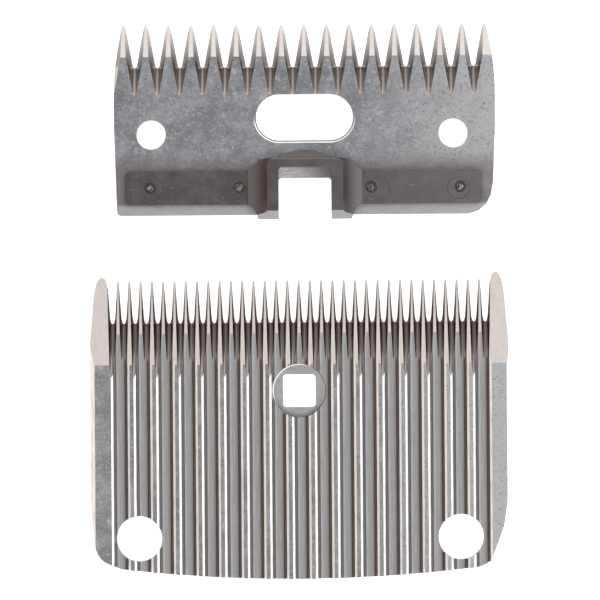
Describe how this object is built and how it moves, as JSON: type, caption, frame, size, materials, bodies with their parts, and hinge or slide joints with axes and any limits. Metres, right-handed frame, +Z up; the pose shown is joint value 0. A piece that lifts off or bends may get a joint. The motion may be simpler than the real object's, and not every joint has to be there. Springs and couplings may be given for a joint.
{
  "type": "clipper comb and cutter pair",
  "caption": "Animal-clipper blade pair laid out flat: a wide grooved comb with fine teeth and guards, and a shorter coarse-toothed cutter with a welded drive bracket.",
  "frame": {"origin": "on the surface that both contact faces lie on, under the middle of the pair's box", "axes": "+Y points the way both sets of teeth point, from the comb's rear edge to the cutter's tips; +Z is up, out of the ribbed backs; X runs across the teeth"},
  "size_m": [0.0772, 0.1024, 0.0084],
  "materials": {
    "comb_steel": "ground teeth and bevels, tumbled rib tops",
    "cutter_steel": "tumbled back, ground teeth",
    "bracket_steel": "dark pressed steel",
    "weld_steel": "bright weld nub"
  },
  "bodies": {
    "comb": {"comb": "comb_steel"},
    "cutter": {"cutter_plate": "cutter_steel", "drive_bracket": "bracket_steel", "weld_nub_left_outer": "weld_steel", "weld_nub_left_inner": "weld_steel", "weld_nub_right_inner": "weld_steel", "weld_nub_right_outer": "weld_steel"}
  },
  "joints": [
    {"name": "cutter_stroke", "type": "slide", "parent": "comb", "child": "cutter", "axis": [1, 0, 0], "range_m": [-0.00208, 0.00208]}
  ]
}
